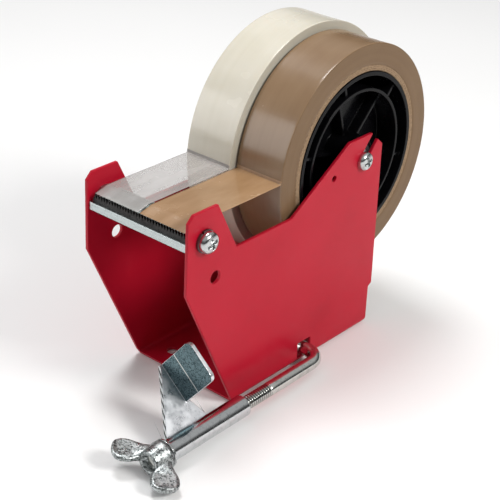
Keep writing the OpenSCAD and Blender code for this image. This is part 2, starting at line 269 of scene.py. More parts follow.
class Graph:
    """A material's nodes around one Principled shader, read in Object coordinates."""

    def __init__(self, name: str) -> None:
        """Start a material.

        Args:
            name: The material's name.
        """
        self.material = bpy.data.materials.new(name)
        self.material.use_nodes = True
        self.tree = self.material.node_tree
        self.shader = self.tree.nodes["Principled BSDF"]
        self.place: Socket = self.tree.nodes.new("ShaderNodeTexCoord").outputs["Object"]

    def fixed(self, **values: float | tuple) -> None:
        """Set the shader's own sockets, named with underscores for spaces."""
        for name, value in values.items():
            self.shader.inputs[name.replace("_", " ")].default_value = value

    def feed(self, socket: Socket, value: Socket | float) -> None:
        """Link a socket to a node's output, or set its number."""
        if isinstance(value, bpy.types.NodeSocket):
            self.tree.links.new(value, socket)
        else:
            socket.default_value = value

    def drive(self, **sources: Socket) -> None:
        """Link outputs to the shader's sockets, named with underscores for spaces."""
        for name, source in sources.items():
            self.tree.links.new(source, self.shader.inputs[name.replace("_", " ")])

    def mapped(self, stretch: Sequence[float], middle: Sequence[float] = (0, 0, 0)) -> Socket:
        """Move and stretch the coordinates: out = (place - middle) * stretch.

        Args:
            stretch: The factor along each axis.
            middle: The point that becomes the origin, in metres.

        Returns:
            The new coordinates.
        """
        node = self.tree.nodes.new("ShaderNodeMapping")
        node.inputs["Scale"].default_value = stretch
        node.inputs["Location"].default_value = [-m * s for m, s in zip(middle, stretch)]
        self.tree.links.new(self.place, node.inputs["Vector"])
        return node.outputs["Vector"]

    def noise(self, scale: float, detail: float = 3.0, place: Socket | None = None,
              roughness: float = 0.55) -> Socket:
        """Add a noise.

        Args:
            scale: Cycles for each metre.
            detail: How many finer layers there are.
            place: The coordinates, or None for the piece's own.
            roughness: The weight of the finer layers.

        Returns:
            A value about 0.5.
        """
        node = self.tree.nodes.new("ShaderNodeTexNoise")
        node.inputs["Scale"].default_value = scale
        node.inputs["Detail"].default_value = detail
        node.inputs["Roughness"].default_value = roughness
        self.tree.links.new(place or self.place, node.inputs["Vector"])
        return node.outputs["Fac"]

    def cells(self, scale: float, place: Socket | None = None) -> Socket:
        """Add a cell pattern, and give the distance to each cell's middle."""
        node = self.tree.nodes.new("ShaderNodeTexVoronoi")
        node.inputs["Scale"].default_value = scale
        self.tree.links.new(place or self.place, node.inputs["Vector"])
        return node.outputs["Distance"]

    def maths(self, work: str, a: Socket | float, b: Socket | float = 0.0) -> Socket:
        """Add one step of arithmetic and give its result."""
        node = self.tree.nodes.new("ShaderNodeMath")
        node.operation = work
        self.feed(node.inputs[0], a)
        self.feed(node.inputs[1], b)
        return node.outputs[0]

    def along(self, way: Sequence[float], start: Sequence[float]) -> Socket:
        """Give the distance along a direction from a point: way . (place - start)."""
        node = self.tree.nodes.new("ShaderNodeVectorMath")
        node.operation = "DOT_PRODUCT"
        self.tree.links.new(self.mapped((1, 1, 1), start), node.inputs[0])
        node.inputs[1].default_value = way
        return node.outputs["Value"]

    def row(self, value: Socket, rate: float) -> Socket:
        """Give coordinates that run along X with a value: (value * rate, 0, 0)."""
        node = self.tree.nodes.new("ShaderNodeCombineXYZ")
        self.feed(node.inputs[0], self.maths("MULTIPLY", value, rate))
        return node.outputs[0]

    def reach(self, middle: Sequence[float]) -> Socket:
        """Give the distance from an axis along X through a point: sqrt((y - y0)^2 + (z - z0)^2)."""
        node = self.tree.nodes.new("ShaderNodeVectorMath")
        node.operation = "LENGTH"
        self.tree.links.new(self.mapped((0, 1, 1), middle), node.inputs[0])
        return node.outputs["Value"]

    def spread(self, value: Socket, low: float, high: float, start: float = 0.3,
               end: float = 0.7) -> Socket:
        """Carry a value from start..end to low..high, held at both ends."""
        node = self.tree.nodes.new("ShaderNodeMapRange")
        node.inputs["From Min"].default_value = start
        node.inputs["From Max"].default_value = end
        node.inputs["To Min"].default_value = low
        node.inputs["To Max"].default_value = high
        self.tree.links.new(value, node.inputs["Value"])
        return node.outputs["Result"]

    def ramp(self, value: Socket, *stops: tuple[float, Colour]) -> Socket:
        """Turn a value into a colour through stops of (place, colour)."""
        node = self.tree.nodes.new("ShaderNodeValToRGB")
        points = node.color_ramp.elements
        while len(points) < len(stops):
            points.new(0.5)
        for point, (place, colour) in zip(points, stops):
            point.position = place
            point.color = (*colour, 1.0)
        self.tree.links.new(value, node.inputs["Fac"])
        return node.outputs["Color"]

    def blend(self, share: Socket | float, first: Socket, second: Socket) -> Socket:
        """Mix two colours by a share from 0 to 1."""
        node = self.tree.nodes.new("ShaderNodeMix")
        node.data_type = "RGBA"
        self.feed(node.inputs[0], share)
        self.tree.links.new(first, node.inputs[6])
        self.tree.links.new(second, node.inputs[7])
        return node.outputs[2]

    def bump(self, height: Socket, depth_mm: float, strength: float = 1.0,
             under: Socket | None = None) -> Socket:
        """Tilt the surface by a height.

        Args:
            height: The height, from 0 to 1.
            depth_mm: How deep a height of 1 is.
            strength: The share of the tilt that is kept.
            under: The normal of a coarser bump, or None.

        Returns:
            The tilted normal.
        """
        node = self.tree.nodes.new("ShaderNodeBump")
        node.inputs["Strength"].default_value = strength
        node.inputs["Distance"].default_value = depth_mm * MM
        self.tree.links.new(height, node.inputs["Height"])
        if under is not None:
            self.tree.links.new(under, node.inputs["Normal"])
        return node.outputs["Normal"]


@dataclass(frozen=True)
class Enamel:
    """Glossy enamel on sheet steel, with a faint orange peel and a clear skin."""

    name: str = "red_enamel"
    deep: Colour = (0.355, 0.004, 0.016)
    body: Colour = (0.43, 0.006, 0.022)
    fresh: Colour = (0.48, 0.009, 0.028)

    def build(self) -> bpy.types.Material:
        """Make the material."""
        g = Graph(self.name)
        g.fixed(Coat_Weight=0.06, Coat_Roughness=0.12, Specular_IOR_Level=0.14)
        cloud = g.noise(22, 4)
        g.drive(Base_Color=g.ramp(cloud, (0.25, self.deep), (0.42, self.body), (0.75, self.fresh)),
                Roughness=g.spread(g.noise(60, 2), 0.30, 0.36))
        g.drive(Normal=g.bump(g.noise(1300, 1), 0.004, 0.25))
        return g.material


@dataclass(frozen=True)
class Metal:
    """Bare or plated metal: its tint, how its face is marked, and the attribute whose depth darkens its
    grooves as painted shade.

    A metal with line_at has one painted highlight line, where the distance from line_at along line_way is 0.
    On a roped metal line_way is the way that its twists follow.
    """

    name: str
    tint: Colour = (0.50, 0.52, 0.53)
    shade: Colour = (0.22, 0.24, 0.25)
    rough: tuple[float, float] = (0.16, 0.34)
    pattern: Pattern = Pattern.PLATED
    groove: str = ""
    line_at: tuple[float, float, float] | None = None
    line_way: tuple[float, float, float] = (1.0, 0.0, 0.0)
    line_mm: float = 0.30
    twist_mm: float = 1.9

    def build(self) -> bpy.types.Material:
        """Make the material."""
        g = Graph(self.name)
        g.fixed(Metallic=1.0)
        if self.pattern is Pattern.BRUSHED:
            mark, depth = g.noise(1.0, 5, g.mapped((120, 5200, 5200))), 0.010
        elif self.pattern is Pattern.CAST:
            mark, depth = g.noise(1200, 5, roughness=0.75), 0.18
        elif self.pattern is Pattern.GRAINED:
            mark, depth = g.noise(1600, 4, roughness=0.8), 0.03
        else:
            mark, depth = g.noise(420, 5, roughness=0.65), 0.012
        tone = g.maths("ADD", g.maths("MULTIPLY", g.cells(900), 0.12), mark)
        start, end = (0.48, 0.60) if self.pattern in (Pattern.CAST, Pattern.GRAINED) else (0.30, 0.56)
        colour = g.ramp(tone, (start, self.shade), (end, self.tint))
        # Painted shade: the deeper a point lies in a thread groove, the nearer its colour goes to black.
        if self.groove:
            groove_shade_depth = g.tree.nodes.new("ShaderNodeAttribute")
            groove_shade_depth.attribute_name = self.groove
            dark = g.ramp(tone, (0.3, (0.02, 0.02, 0.018)), (0.7, (0.05, 0.048, 0.04)))
            colour = g.blend(g.maths("MULTIPLY", groove_shade_depth.outputs["Fac"], 0.92), colour, dark)
        # Painted highlight: a thin pale line where the distance along line_way from line_at is near 0.
        if self.line_at is not None:
            off = g.maths("ABSOLUTE", g.along(self.line_way, self.line_at))
            crease_highlight = g.ramp(tone, (0.3, (0.50, 0.52, 0.50)), (0.7, (0.72, 0.74, 0.72)))
            near = g.spread(off, 1.0, 0.0, self.line_mm * MM * 0.5, self.line_mm * MM)
            colour = g.blend(near, colour, crease_highlight)
        if self.pattern is Pattern.ROPED:
            run = g.along(self.line_way, (0, 0, 0))
            turns = g.maths("SINE", g.maths("MULTIPLY", run, 2 * math.pi / (self.twist_mm * MM)))
            dark = g.ramp(tone, (0.3, (0.015, 0.018, 0.018)), (0.7, (0.04, 0.045, 0.045)))
            colour = g.blend(g.spread(turns, 0.0, 1.0, -0.2, 0.3), colour, dark)
        g.drive(Base_Color=colour, Roughness=g.spread(g.noise(300, 4), *self.rough))
        fine = g.bump(mark, depth, 0.6)
        g.drive(Normal=g.bump(g.noise(3000, 3), 0.006, 0.35, fine))
        return g.material


@dataclass(frozen=True)
class Plastic:
    """Moulded plastic, glossy, with faint flow marks."""

    name: str
    tint: Colour = (0.0016, 0.0016, 0.002)
    light: Colour = (0.004, 0.004, 0.005)
    rough: tuple[float, float] = (0.14, 0.28)

    def build(self) -> bpy.types.Material:
        """Make the material."""
        g = Graph(self.name)
        g.fixed(Specular_IOR_Level=0.10)
        g.drive(Base_Color=g.ramp(g.noise(90, 4), (0.35, self.tint), (0.65, self.light)),
                Roughness=g.spread(g.noise(160, 4), *self.rough),
                Normal=g.bump(g.noise(900, 4), 0.012, 0.4))
        return g.material


@dataclass(frozen=True)
class Card:
    """Wound cardboard: pale fibres, with fine rings on its ends."""

    name: str = "wound_card"
    pale: Colour = (0.30, 0.205, 0.125)
    dark: Colour = (0.115, 0.068, 0.036)
    ring_mm: float = 0.7

    def build(self, axle: np.ndarray) -> bpy.types.Material:
        """Make the material around the axle.

        Args:
            axle: A point on the axle, in metres.

        Returns:
            The material.
        """
        g = Graph(self.name)
        g.fixed(Specular_IOR_Level=0.2)
        rings = g.maths("SINE", g.maths("MULTIPLY", g.reach(axle), 2 * math.pi / (self.ring_mm * MM)))
        fibre = g.noise(1500, 5, roughness=0.7)
        tone = g.maths("ADD", g.maths("MULTIPLY", rings, 0.10), fibre)
        g.drive(Base_Color=g.ramp(tone, (0.3, self.dark), (0.55, self.pale)),
                Roughness=g.spread(fibre, 0.6, 0.85), Normal=g.bump(tone, 0.12, 0.7))
        return g.material


@dataclass(frozen=True)
class WoundFilm:
    """A roll of film: its rim, glossy with long bands, or its face, with a fine ring for each few turns."""

    name: str
    deep: Colour
    body: Colour
    pale: Colour
    glow: float = 0.0
    face_share: float = 0.72
    scatter: tuple[float, float, float] = (0.004, 0.003, 0.002)
    ring_rate: float = 2600.0
    step_rate: float = 420.0

    def rim(self, axle: np.ndarray) -> bpy.types.Material:
        """Make the rim's material, whose bands run round the roll.

        Args:
            axle: A point on the axle, in metres.

        Returns:
            The material.
        """
        g = Graph(self.name + "_rim")
        g.fixed(Coat_Weight=0.25, Coat_Roughness=0.12, Subsurface_Weight=self.glow,
                Subsurface_Radius=self.scatter)
        bands = g.noise(1.0, 3, g.mapped((520, 9, 9), axle))
        cloud = g.noise(30, 3)
        tone = g.maths("ADD", g.maths("MULTIPLY", bands, 0.22), g.maths("MULTIPLY", cloud, 0.78))
        g.drive(Base_Color=g.ramp(tone, (0.30, self.deep), (0.50, self.body), (0.72, self.pale)),
                Roughness=g.spread(cloud, 0.16, 0.30),
                Normal=g.bump(bands, 0.03, 0.4))
        return g.material

    def face(self, axle: np.ndarray) -> bpy.types.Material:
        """Make the face's material, whose rings follow the turns.

        Args:
            axle: A point on the axle, in metres.

        Returns:
            The material.
        """
        g = Graph(self.name + "_face")
        g.fixed(Specular_IOR_Level=0.2, Subsurface_Weight=self.glow, Subsurface_Radius=self.scatter)
        reach = g.reach(axle)
        rings = g.noise(1.0, 6, g.row(reach, self.ring_rate), roughness=0.75)
        steps = g.noise(1.0, 2, g.row(reach, self.step_rate))
        tone = g.maths("ADD", g.maths("MULTIPLY", rings, 0.4), g.maths("MULTIPLY", steps, 0.25))
        tone = g.maths("ADD", tone, g.maths("MULTIPLY", g.noise(45, 4), 0.35))
        deep, body, pale = (tuple(self.face_share * c for c in tint)
                            for tint in (self.deep, self.body, self.pale))
        g.drive(Base_Color=g.ramp(tone, (0.36, deep), (0.52, body), (0.68, pale)),
                Roughness=g.spread(rings, 0.30, 0.5), Normal=g.bump(rings, 0.05, 0.5))
        return g.material


@dataclass(frozen=True)
class Film:
    """A free length of film that lets some light through."""

    name: str
    body: Colour
    pale: Colour
    cover: float
    rough: tuple[float, float] = (0.14, 0.30)

    def build(self) -> bpy.types.Material:
        """Make the material."""
        g = Graph(self.name)
        g.fixed(Alpha=self.cover, Specular_IOR_Level=0.6, Coat_Weight=0.3, Coat_Roughness=0.1)
        streak = g.noise(1.0, 4, g.mapped((150, 40, 40)))
        g.drive(Base_Color=g.ramp(streak, (0.35, self.body), (0.65, self.pale)),
                Roughness=g.spread(g.noise(120, 4), *self.rough),
                Normal=g.bump(streak, 0.02, 0.4))
        return g.material


# ---------------------------------------------------------------- sub-assemblies

@dataclass
class Stand:
    """The folded red channel with its bar, screws, blade and axle."""

    edge_mm: float = 0.28
    small_edge_mm: float = 0.18

    def build(self) -> None:
        """Make the channel and everything that is screwed to it."""
        enamel = Enamel().build()
        zinc = Metal("bright_zinc", (0.56, 0.58, 0.58), (0.26, 0.27, 0.28), rough=(0.14, 0.30)).build()
        dress(softened("frame", self.edge_mm, 3), "stand", "frame", enamel)
        dark = Metal("spring_steel", (0.16, 0.15, 0.15), (0.05, 0.05, 0.05), (0.3, 0.5)).build()
        for side in ("left", "right"):
            dress(softened("guide_screw_" + side, self.small_edge_mm, 3), "stand", "hardware", zinc)
            dress(softened("axle_screw_" + side, self.small_edge_mm, 3), "stand", "hardware", zinc)
            dress(softened("lock_washer_" + side, 0.15), "stand", "lock_washers", dark)
        self.build_axle()
        self.build_cutter(zinc)

    def build_axle(self) -> None:
        """Make the axle tube and its washers."""
        # The axle's steel is darkened so that it reads as the dark slots it sits in: painted shade.
        shaded_axle_steel = Metal("axle_steel_painted_shade", (0.30, 0.30, 0.30), (0.12, 0.12, 0.12), (0.3, 0.45)).build()
        nylon = Plastic("dark_nylon", (0.020, 0.020, 0.022), (0.035, 0.035, 0.038), (0.35, 0.5)).build()
        dress(softened("axle", 0.3), "stand", "axle", shaded_axle_steel)
        for side in ("left", "right"):
            dress(softened("axle_washer_" + side, 0.12), "stand", "axle_washers", nylon)

    def build_cutter(self, zinc: bpy.types.Material) -> None:
        """Make the bar, the blade and the bright strip that holds it.

        Args:
            zinc: The plating of the rivets.
        """
        bar = Metal("turned_bar", (0.40, 0.46, 0.45), (0.27, 0.32, 0.31), (0.2, 0.36),
                    Pattern.BRUSHED).build()
        strip = Metal("bright_strip", (0.50, 0.55, 0.55), (0.34, 0.38, 0.38), (0.2, 0.36),
                      Pattern.BRUSHED).build()
        black = Metal("blackened_blade", (0.045, 0.043, 0.042), (0.012, 0.012, 0.012), (0.2, 0.4)).build()
        dress(softened("guide_bar", 0.3), "stand", "guide_bar", bar)
        dress(softened("blade_holder", self.small_edge_mm), "stand", "blade_holder", strip)
        dress(softened("blade", 0.12), "stand", "blade", black)
        dress(softened("blade_rivets", 0.1), "stand", "hardware", zinc)


@dataclass
class Reel:
    """The two rolls side by side, on card cores over a black moulded hub."""

    edge_mm: float = 0.35
    sag_mm: float = 0.12
    core_gap_mm: float = 0.01
    face_rings: int = 8

    def build(self) -> None:
        """Make the hubs, the cores and the rolls."""
        axle = centre("axle")
        black = Plastic("black_hub").build()
        card = Card().build(axle)
        brown = WoundFilm("brown_film", (0.205, 0.120, 0.062), (0.240, 0.148, 0.078), (0.270, 0.172, 0.096))
        cream = WoundFilm("cream_film", (0.61, 0.57, 0.465), (0.66, 0.62, 0.52), (0.71, 0.675, 0.585), 0.10)
        for side in ("left", "right"):
            dress(softened("hub_" + side, 0.3, 3), "reel", "hub", black)
        for node in ("core_brown", "core_clear"):
            dress(softened(node, 0.25), "reel", "core", card)
        rolls = (("tape_roll_brown", brown, "tape_brown"), ("tape_roll_clear", cream, "tape_clear"))
        for node, film, slot in rolls:
            roll = self.roll(node, axle)
            dress(roll, "reel", slot, film.rim(axle), film.face(axle))
            self.split_faces(roll)

    def roll(self, node: str, axle: np.ndarray) -> bpy.types.Object:
        """Turn a roll whose rim is very slightly hollow and whose corners are round.

        The rim's radius at x is R - sag * (1 - (2 u - 1)^2), with u from 0 to 1 across the roll.

        Args:
            node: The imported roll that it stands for.
            axle: A point on the axle.

        Returns:
            The new object.
        """
        low, high = corners(node)
        x0, x1 = low[0] / MM, high[0] / MM
        outer = half_height(node) / MM
        inner = half_height("core_brown") / MM + self.core_gap_mm
        turn = np.linspace(0, math.pi / 2, 5)
        right = np.stack([x1 - self.edge_mm * (1 - np.cos(turn)),
                          outer - self.edge_mm * (1 - np.sin(turn))], axis=1)
        share = np.linspace(0.95, 0.05, 11)
        rim = np.stack([x0 + (x1 - x0) * share, outer - self.sag_mm * (1 - (2 * share - 1) ** 2)], axis=1)
        left = np.stack([x0 + x1 - right[::-1, 0], right[::-1, 1]], axis=1)
        radii = np.linspace(outer - self.edge_mm - 0.4, inner + 0.2, self.face_rings)
        down = np.stack([np.full_like(radii, x0), radii], axis=1)
        up = np.stack([np.full_like(radii, x1), radii[::-1]], axis=1)
        profile = np.concatenate([right, rim, left, down, [[x0 + 0.1, inner], [x1 - 0.1, inner]], up])
        piece = turned(node + "_wound", [tuple(p) for p in profile], 0, axle, 192)
        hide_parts(node)
        return piece

    def split_faces(self, roll: bpy.types.Object) -> None:
        """Give the flat sides of a roll its second material: those whose normal lies along X.

        Args:
            roll: The roll.
        """
        count = len(roll.data.polygons)
        normals = np.empty(count * 3, dtype=np.float32)
        roll.data.polygons.foreach_get("normal", normals)
        flat = (np.abs(normals.reshape(-1, 3)[:, 0]) > 0.6).astype(np.int32)
        roll.data.polygons.foreach_set("material_index", flat)


@dataclass
class TapeEnds:
    """The free lengths of the two tapes, from the rolls over the bar to the teeth."""

    rise_mm: float = 0.12
    wave_mm: float = 0.10
    long_wave_mm: float = 6.2
    short_wave_mm: float = 3.1
    curl: float = 2.6
    film_mm: float = 0.06
    side_gap_mm: float = 0.05
    lean_to: float = 22.0
    level_points: int = 90
    steps: int = 220
    across: int = 40

    def build(self) -> None:
        """Make both lengths."""
        brown = Film("brown_film_end", (0.33, 0.190, 0.090), (0.40, 0.240, 0.125), 0.93).build()
        clear = Film("clear_film_end", (0.42, 0.40, 0.385), (0.52, 0.50, 0.485), 0.50).build()
        self.length("tape_end_brown", "tape_roll_brown", "tape_brown", brown, 0.7)
        self.length("tape_end_clear", "tape_roll_clear", "tape_clear", clear, 2.1)

    def path(self, roll: str) -> np.ndarray:
        """Give points (y, z) from the roll's rim to the teeth.

        They lie on the roll for about 1.5 mm, turn sharply at the peel line, run level to the bar's top,
        follow the bar as far as lean_to degrees and fall straight to the tips of the teeth.

        Args:
            roll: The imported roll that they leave.

        Returns:
            An (n, 2) array in metres.
        """
        axle, bar = centre("axle"), centre("guide_bar")
        radius = half_height(roll) + 0.0001
        bar_r = half_height("guide_bar") + self.rise_mm * MM
        top = bar[2] + bar_r
        base = math.asin((top - axle[2]) / radius)
        climb = base + np.linspace(0.030, 0.004, 4)
        on_roll = np.stack([axle[1] - radius * np.cos(climb), axle[2] + radius * np.sin(climb)],
                           axis=1)
        start = axle[1] - radius * math.cos(base) - 0.0004
        level_y = np.linspace(start, bar[1], self.level_points)
        level = np.stack([level_y, np.full_like(level_y, top)], axis=1)
        lean = np.radians(np.linspace(1, self.lean_to, 16))
        over = np.stack([bar[1] - bar_r * np.sin(lean), bar[2] + bar_r * np.cos(lean)], axis=1)
        low, high = corners("blade")
        tip = np.array([(low[1] + high[1]) / 2 - 0.0001, high[2] + 0.00005])
        fall = over[-1] + (tip - over[-1]) * np.linspace(0.06, 1, 14)[:, None]
        return np.concatenate([on_roll, level, over, fall])

    def length(self, node: str, roll: str, slot: str, finish: bpy.types.Material,
               seed: float) -> None:
        """Make one free length as a sheet that waves very slightly.

        Height is raised by wave * bell(s) * (sin(x / long + 5 s)^2 + curl * s^6 * sin(x / short + 9 s)^2),
        where s is the share of the length and bell is 0 on the roll and at the teeth, so that the sheet
        never dips into the bar.

        Args:
            node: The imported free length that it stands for.
            roll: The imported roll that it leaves.
            slot: The record's material slot.
            finish: The film.
            seed: Shifts the waves, so that the two tapes differ.
        """
        line = self.path(roll)
        reach = np.concatenate([[0], np.cumsum(np.linalg.norm(np.diff(line, axis=0), axis=1))])
        s = np.linspace(0, reach[-1], self.steps)
        y, z = np.interp(s, reach, line[:, 0]), np.interp(s, reach, line[:, 1])
        low, high = corners(node)
        gap = self.side_gap_mm * MM
        x = np.linspace(low[0] + gap, high[0] - gap, self.across)
        sx, xx = np.meshgrid(s / reach[-1], x, indexing="ij")
        bell = np.clip(sx * 6, 0, 1) * np.clip((1 - sx) * 9, 0, 1)
        slow = np.sin(xx / (self.long_wave_mm * MM) + seed + 5 * sx) ** 2
        quick = self.curl * np.sin(xx / (self.short_wave_mm * MM) + seed * 3 + 9 * sx) ** 2 * sx ** 6
        height = z[:, None] + self.wave_mm * MM * (slow + quick) * bell
        points = np.stack([xx, np.broadcast_to(y[:, None], xx.shape), height], axis=-1)
        faces = grid_faces(self.steps, self.across, False, False)
        piece = new_piece(node + "_film", points.reshape(-1, 3), faces)
        body = piece.modifiers.new("thickness", "SOLIDIFY")
        body.thickness = self.film_mm * MM
        body.offset = 1.0
        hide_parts(node)
        dress(piece, "stand", slot, finish)


@dataclass
class Clamp:
    """The hook bolt, the jaw on it, the thrust washer and the wing nut."""

    pitch_mm: float = 1.25
    thread_mm: float = 68.0
    groove_mm: float = 0.60
    bend_mm: float = 8.0
    inner_bend_mm: float = 6.0
    crease_mm: float = 7.2
    sleeve_mm: float = 7.0
    point_mm: float = 0.7
    top_round_mm: float = 0.5
    runout_mm: float = 1.5
    rows_per_turn: int = 9
    jaw_angle: float = 40.0
    jaw_lean: float = 0.07
    wing_span_mm: float = 33.0
    wing_tilt: float = 10.0
    nut_mm: float = 8.8

    def __post_init__(self) -> None:
        """Read the bolt's axis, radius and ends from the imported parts."""
        washer = centre("thrust_washer")
        bolt_low, bolt_high = corners("hook_bolt")
        self.axis = np.array([washer[0], 0.0, washer[2]])
        self.radius = bolt_high[0] - washer[0]
        self.end_y = bolt_low[1]
        self.hook_y = bolt_high[1] - self.radius
        self.inner_x = bolt_low[0] + self.radius
        self.top_z = bolt_high[2]

    def build(self) -> None:
        """Make the four moving parts."""
        # The groove attribute darkens the thread's grooves with painted shade.
        thread = Metal("bolt_zinc", (0.66, 0.67, 0.64), (0.40, 0.41, 0.39), (0.10, 0.24),
                       groove="groove").build()
        bright = Metal("washer_zinc", (0.52, 0.54, 0.54), (0.24, 0.25, 0.26), (0.14, 0.3)).build()
        # The web and the pad are one zinc sheet: the web's bright tint is painted light, the pad's dark tint
        # is painted reflection of dark surroundings, and its crease line is a painted highlight.
        lit_web_zinc = Metal("jaw_zinc_painted_light", (0.80, 0.82, 0.85), (0.50, 0.53, 0.56), (0.22, 0.42)).build()
        across = self.across()
        pad = Metal("pad_zinc_painted_reflection", (0.125, 0.190, 0.210), (0.022, 0.044, 0.052), (0.18, 0.30), Pattern.GRAINED,
                    line_at=tuple(self.crease()), line_way=tuple(across)).build()
        edge = Metal("edge_zinc", (0.62, 0.65, 0.66), (0.40, 0.43, 0.44), (0.2, 0.35), Pattern.ROPED,
                     line_way=(across[0], 0.8, across[2])).build()
        sleeve = Metal("sleeve_zinc", (0.60, 0.62, 0.63), (0.42, 0.44, 0.45), (0.10, 0.20)).build()
        cast = Metal("cast_zinc", (0.46, 0.49, 0.49), (0.085, 0.095, 0.095), (0.20, 0.42),
                     Pattern.CAST).build()
        dress(self.bolt(), "hook", "hook_bolt", thread)
        dress(self.jaw(), "jaw", "clamp_jaw", lit_web_zinc, pad, edge, sleeve)
        dress(softened("thrust_washer", 0.2), "washer", "thrust_washer", bright)
        dress(self.wing_nut(), "nut", "wing_nut", cast)

    def bolt(self) -> bpy.types.Object:
        """Sweep the bolt as rings along its line, with a helical groove over its thread.

        On the thread the radius at distance s and angle t is R - depth * |2 frac(s / pitch - t / 2 pi) - 1|.
        The depth fades in over one pitch and fades out over runout_mm.

        Returns:
            The new object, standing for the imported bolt.
        """
        r = self.radius
        bend, inner = self.bend_mm * MM, self.inner_bend_mm * MM
        pitch, length = self.pitch_mm * MM, self.thread_mm * MM
        thread = np.arange(0, length, pitch / self.rows_per_turn)
        straight = np.linspace(length, self.hook_y - bend - self.end_y, 10)
        s = np.concatenate([thread, straight])
        line = np.stack([np.full_like(s, self.axis[0]), self.end_y + s,
                         np.full_like(s, self.axis[2])], axis=1)
        turn = np.linspace(0, math.pi / 2, 25)[1:]
        hook = np.stack([self.axis[0] - bend + bend * np.cos(turn), self.hook_y - bend + bend * np.sin(turn),
                         np.full_like(turn, self.axis[2])], axis=1)
        rise = np.stack([self.inner_x + inner - inner * np.sin(turn), np.full_like(turn, self.hook_y),
                         self.axis[2] + inner - inner * np.cos(turn)], axis=1)
        top = np.array([[self.inner_x, self.hook_y, self.top_z - 0.0004],
                        [self.inner_x, self.hook_y, self.top_z]])
        centre_line = np.concatenate([line, hook, rise, top])
        flat = len(line) + len(hook)
        way = np.gradient(centre_line, axis=0)
        way /= np.linalg.norm(way, axis=1, keepdims=True)
        up = np.tile([0.0, 0.0, 1.0], (len(way), 1))
        across = np.cross(way, up)
        across[flat:] = [0.0, 1.0, 0.0]
        across /= np.linalg.norm(across, axis=1, keepdims=True)
        up = np.cross(across, way)
        angle = np.linspace(0, 2 * math.pi, 40, endpoint=False)
        run = np.concatenate([s, np.full(len(centre_line) - len(s), s[-1])])
        phase = run[:, None] / pitch - angle / (2 * math.pi)
        fade = np.clip(run / pitch, 0, 1) * np.clip((length - run) / (self.runout_mm * MM), 0, 1)
        groove = self.groove_mm * MM * np.abs(2 * (phase - np.floor(phase)) - 1)
        size = r - groove * fade[:, None]
        size[0] = r - self.point_mm * MM
        size[-1] = r - self.top_round_mm * MM
        rings = (centre_line[:, None] + across[:, None] * (size * np.cos(angle))[..., None]
                 + up[:, None] * (size * np.sin(angle))[..., None])
        piece = tube_piece("hook_bolt_threaded", rings, False)
        self.mark_grooves(piece)
        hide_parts("hook_bolt")
        return piece

    def mark_grooves(self, bolt: bpy.types.Object) -> None:
        """Store how deep each point lies in the thread, for the painted shade in its grooves.

        It is (R - distance from the axis) / depth on the thread and 0 past it.

        Args:
            bolt: The threaded piece.
        """
        count = len(bolt.data.vertices)
        flat = np.empty(count * 3, dtype=np.float32)
        bolt.data.vertices.foreach_get("co", flat)
        points = flat.reshape(-1, 3)
        off = np.hypot(points[:, 0] - self.axis[0], points[:, 2] - self.axis[2])
        deep = np.clip((self.radius - off) / (self.groove_mm * MM), 0, 1)
        on_thread = (points[:, 1] > self.end_y + 0.0008) & (points[:, 1] < self.end_y + self.thread_mm * MM)
        store = bolt.data.attributes.new("groove", "FLOAT", "POINT")
        store.data.foreach_set("value", (deep * on_thread).astype(np.float32))

    def jaw(self) -> bpy.types.Object:
        """Round the jaw's edges and fold its pad a little along a crease that runs with the web.

        With w the distance across the pad from the bolt's axis, a point past the crease moves towards -Y
        by lean * (w - crease).

        Returns:
            The new object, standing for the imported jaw.
        """
        across, crease = self.across(), self.crease()

        def fold(work: bmesh.types.BMesh) -> None:
            """Cut the pad along its crease and lean the far part."""
            bmesh.ops.bisect_plane(work, geom=work.verts[:] + work.edges[:] + work.faces[:],
                                   plane_co=crease, plane_no=across, dist=1e-6)
            for vert in work.verts:
                past = (vert.co - crease).dot(across)
                if past > 0:
                    vert.co.y -= self.jaw_lean * past

        piece = softened("clamp_jaw", 0.35, 3, 40.0, fold)
        self.mark_faces(piece)
        return piece

    def across(self) -> Vector:
        """Give the way across the pad, from the bolt's axis over the crease."""
        turn = math.radians(self.jaw_angle)
        return Vector((math.sin(turn), 0.0, math.cos(turn)))

    def crease(self) -> Vector:
        """Give a point on the pad's crease."""
        return Vector(self.axis) + self.across() * self.crease_mm * MM

    def mark_faces(self, jaw: bpy.types.Object) -> None:
        """Number the jaw's finishes by where its faces lie and look.

        They are 0 for the web, 1 for the pad's front, 2 for its slanted edge and 3 for the sleeve, which
        is what lies within sleeve_mm of the bolt's axis. Past it the pad's front looks straight along the
        bolt, and the slanted edge looks partly along it. The web's finish is a lit copy of the zinc, with
        painted light, and the pad front's a dark copy, with painted reflection.

        Args:
            jaw: The finished jaw.
        """
        count = len(jaw.data.polygons)
        normals = np.empty(count * 3, dtype=np.float32)
        middles = np.empty(count * 3, dtype=np.float32)
        jaw.data.polygons.foreach_get("normal", normals)
        jaw.data.polygons.foreach_get("center", middles)
        off = middles.reshape(-1, 3) - self.axis
        out = np.hypot(off[:, 0], off[:, 2])
        facing = -normals.reshape(-1, 3)[:, 1]
        kind = np.where(facing > 0.985, 1, np.where(facing > 0.4, 2, 0))
        kind = np.where(out > self.sleeve_mm * MM, kind, 3)
        jaw.data.polygons.foreach_set("material_index", kind.astype(np.int32))

